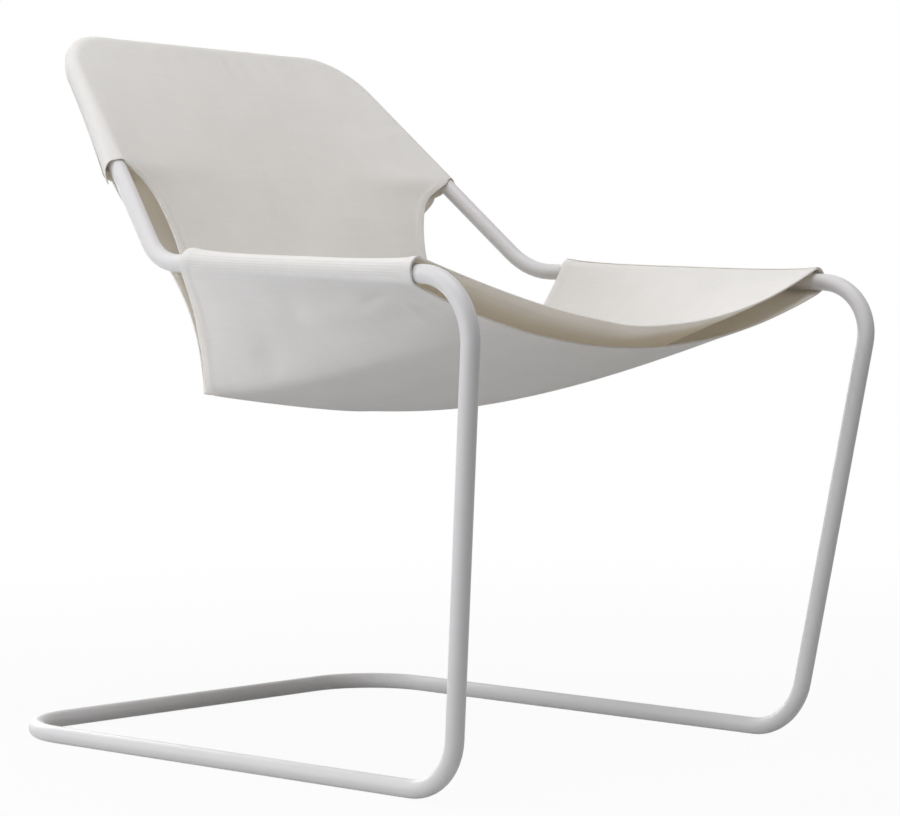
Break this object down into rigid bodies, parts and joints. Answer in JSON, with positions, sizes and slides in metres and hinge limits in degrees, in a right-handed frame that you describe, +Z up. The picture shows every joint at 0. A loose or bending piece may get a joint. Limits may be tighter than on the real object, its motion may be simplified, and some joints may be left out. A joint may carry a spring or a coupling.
{
  "type": "sling armchair",
  "caption": "Low lounge armchair: a closed loop of bent round steel tube forms floor runners, front legs, arms and back, and carries a hanging double canvas seat and a slip-over back.",
  "frame": {"origin": "on the floor, under the middle of the chair's width and depth", "axes": "+Z up, -Y the way the sitter faces, +X the sitter's left; the chair mirrors about the plane X = 0"},
  "size_m": [0.7255, 0.8045, 0.8406],
  "materials": {
    "tube": "satin white powder coat",
    "spigot": "bare drawn steel",
    "canvas": "matt off-white cotton canvas"
  },
  "bodies": {
    "root": {"frame_tube_right": "tube", "frame_tube_left": "tube", "spigot_floor": "spigot", "spigot_top": "spigot", "arm_strip_right": "canvas", "arm_strip_left": "canvas", "seat_lower": "canvas", "seat_upper": "canvas", "back_front": "canvas", "back_rear": "canvas", "pocket_band": "canvas"}
  },
  "joints": []
}
